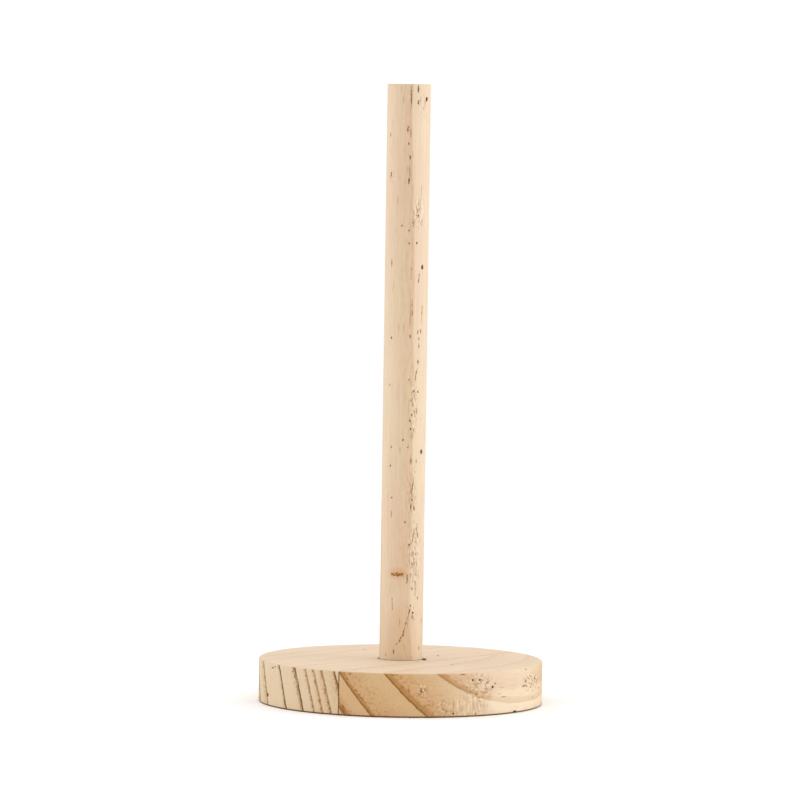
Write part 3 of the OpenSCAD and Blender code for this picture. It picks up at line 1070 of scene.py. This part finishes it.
def screw_tree(material):
    """Rolls the thread round the screw's core, from a spiral that slims with the tip."""
    tree, start, end = geometry_tree(
        "rolled_thread", "Core Radius", "Ridge", "Pitch", "Start", "Length", "Tip Start",
        "Tip Length")
    given = start.outputs
    turns = add_node(tree, "ShaderNodeMath", {0: given["Length"], 1: given["Pitch"]},
                     operation="DIVIDE")
    spiral = add_node(tree, "GeometryNodeCurveSpiral", {
        "Resolution": 32, "Rotations": turns, "Start Radius": given["Core Radius"],
        "End Radius": given["Core Radius"], "Height": given["Length"]})
    lift = add_node(tree, "ShaderNodeCombineXYZ", {2: given["Start"]})
    placed = add_node(tree, "GeometryNodeSetPosition", {"Geometry": spiral, "Offset": lift})

    # The ridge grows over the first half turn, and slims with the core along the tip
    position = add_node(tree, "GeometryNodeInputPosition")
    height = add_node(tree, "ShaderNodeSeparateXYZ", {0: position}).outputs[2]
    grown_at = add_node(tree, "ShaderNodeMath", {0: given["Pitch"], 1: 0.5, 2: given["Start"]},
                        operation="MULTIPLY_ADD")
    grown = add_node(tree, "ShaderNodeMapRange", {
        "Value": height, "From Min": given["Start"], "From Max": grown_at,
        "To Min": 0.45})
    tip = add_node(tree, "ShaderNodeMath", {0: given["Tip Start"], 1: given["Tip Length"]},
                   operation="ADD")
    slim = add_node(tree, "ShaderNodeMapRange", {
        "Value": height, "From Min": given["Tip Start"], "From Max": tip,
        "To Min": 1.0, "To Max": 0.0})
    size = add_node(tree, "ShaderNodeMath", {0: grown, 1: slim}, operation="MULTIPLY")
    slimmed = add_node(tree, "ShaderNodeCombineXYZ", {0: slim, 1: slim, 2: 1.0})
    drawn_in = add_node(tree, "ShaderNodeVectorMath", {0: position, 1: slimmed},
                        operation="MULTIPLY")
    shaped = add_node(tree, "GeometryNodeSetPosition", {
        "Geometry": placed, "Position": drawn_in})
    upright = add_node(tree, "GeometryNodeSetCurveNormal", {"Curve": shaped}, mode="Z_UP")
    profile = add_node(tree, "GeometryNodeCurvePrimitiveCircle", {
        "Resolution": 3, "Radius": given["Ridge"]})
    ridge = add_node(tree, "GeometryNodeCurveToMesh", {
        "Curve": upright, "Profile Curve": profile.outputs[0], "Scale": size, "Fill Caps": True})
    joined = add_node(tree, "GeometryNodeJoinGeometry")
    for part in (given[0], ridge):
        plated = add_node(tree, "GeometryNodeSetMaterial", {"Geometry": part, "Material": material})
        tree.links.new(plated.outputs[0], joined.inputs[0])
    finish_tree(tree, end, joined, material)
    return tree


class HOLDER_OT_screw(bpy.types.Operator):
    """Make the wood screw that holds the dowel from below"""

    bl_idname = "holder.screw"
    bl_label = "Screw"

    def execute(self, context):
        sizes = context.scene.holder.sizes
        piece = new_piece("base_screw_plated", screw_mesh(sizes))
        run_nodes(piece, screw_tree(zinc_material()), {
            "Core Radius": sizes.core_radius, "Ridge": sizes.thread_ridge,
            "Pitch": sizes.thread_pitch, "Start": SCREW_HIGH.z - sizes.thread_length,
            "Length": sizes.thread_length - THREAD_SHORT,
            "Tip Start": SCREW_HIGH.z - sizes.tip_length, "Tip Length": sizes.tip_length})
        settle(piece, "base_screw")
        return {"FINISHED"}


# The photograph's frame and its camera's focal length in pixels, and a sensor width in mm
FRAME = 800
FOCAL = 5476
SENSOR = 36
# The camera is level with the top of the post, 2.5 m away, and is tipped down, turned to the left
# and rolled by these degrees
CAMERA_PLACE = (0, -2.5, 0.2807)
CAMERA_DOWN = 3.253
CAMERA_LEFT = 0.0485
CAMERA_ROLL = 0.85
# The soft lights aim at this height of the holder
AIM_HEIGHT = 0.12
# Each soft light as (name, place, width, height, watts)
SOFTBOXES = (
    ("softbox_left", (-1.3, 0.3, 0.65), 1.0, 1.5, 4.0),
    ("softbox_right", (1.3, 0.0, 0.35), 1.0, 1.5, 7.2),
)
WORLD_STRENGTH = 1.05
FLOOR_RADIUS = 20


class HOLDER_OT_stage(bpy.types.Operator):
    """Set up the floor, the soft studio light and the camera"""

    bl_idname = "holder.stage"
    bl_label = "Stage"

    def execute(self, context):
        scene = context.scene
        scene.view_settings.view_transform = "Standard"
        world = bpy.data.worlds.new("white_studio")
        world.use_nodes = True
        background = world.node_tree.nodes["Background"]
        background.inputs["Color"].default_value = (1, 1, 1, 1)
        background.inputs["Strength"].default_value = WORLD_STRENGTH
        scene.world = world

        disc = bmesh.new()
        bmesh.ops.create_circle(disc, cap_ends=True, segments=96, radius=FLOOR_RADIUS)
        floor = new_piece("floor", plain_mesh("floor", disc))
        card = bpy.data.materials.new("matt_white_card")
        card.use_nodes = True
        paint = card.node_tree.nodes["Principled BSDF"].inputs
        paint["Base Color"].default_value = (*linear("#fcfcfc"), 1)
        paint["Roughness"].default_value = 0.9
        paint["Specular IOR Level"].default_value = 0
        floor.data.materials.append(card)

        for name, place, width, height, watts in SOFTBOXES:
            lamp = bpy.data.lights.new(name, "AREA")
            lamp.shape = "RECTANGLE"
            lamp.size = width
            lamp.size_y = height
            lamp.energy = watts
            stand = bpy.data.objects.new(name, lamp)
            stand.location = place
            aim = Vector((0, 0, AIM_HEIGHT)) - Vector(place)
            stand.rotation_mode = "QUATERNION"
            stand.rotation_quaternion = aim.to_track_quat("-Z", "Y")
            scene.collection.objects.link(stand)

        lens = bpy.data.cameras.new("camera")
        lens.sensor_width = SENSOR
        lens.lens = SENSOR * FOCAL / FRAME
        camera = bpy.data.objects.new("camera", lens)
        camera.location = CAMERA_PLACE
        down, left = math.radians(CAMERA_DOWN), math.radians(CAMERA_LEFT)
        ahead = Vector((
            -math.sin(left) * math.cos(down), math.cos(left) * math.cos(down), -math.sin(down)))
        camera.rotation_mode = "QUATERNION"
        camera.rotation_quaternion = (
            ahead.to_track_quat("-Z", "Y") @ Quaternion((0, 0, 1), math.radians(CAMERA_ROLL)))
        scene.collection.objects.link(camera)
        scene.camera = camera
        return {"FINISHED"}


class HOLDER_PT_panel(bpy.types.Panel):
    """The holder's sizes, colours and pieces"""

    bl_idname = "HOLDER_PT_panel"
    bl_label = "Hair Tie Holder"
    bl_space_type = "VIEW_3D"
    bl_region_type = "UI"
    bl_category = "Holder"

    def draw(self, context):
        settings = context.scene.holder
        for group in (settings.sizes, settings.colours):
            for name in group.bl_rna.properties.keys():
                if name not in ("rna_type", "name"):
                    self.layout.prop(group, name)
        for operator in OPERATORS:
            self.layout.operator(operator.bl_idname)


OPERATORS = (HOLDER_OT_base_boards, HOLDER_OT_post, HOLDER_OT_screw, HOLDER_OT_stage)
CLASSES = (HolderSizes, HolderColours, HolderSettings, *OPERATORS, HOLDER_PT_panel)


def register():
    """Registers the classes, and gives each scene its own holder settings."""
    for item in CLASSES:
        bpy.utils.register_class(item)
    bpy.types.Scene.holder = PointerProperty(type=HolderSettings)


def unregister():
    """Takes the settings and the classes out again."""
    del bpy.types.Scene.holder
    for item in reversed(CLASSES):
        bpy.utils.unregister_class(item)


def main():
    """Builds the holder and its stage."""
    register()
    bpy.ops.holder.base_boards()
    bpy.ops.holder.post()
    bpy.ops.holder.screw()
    bpy.ops.holder.stage()


if __name__ == "__main__":
    main()
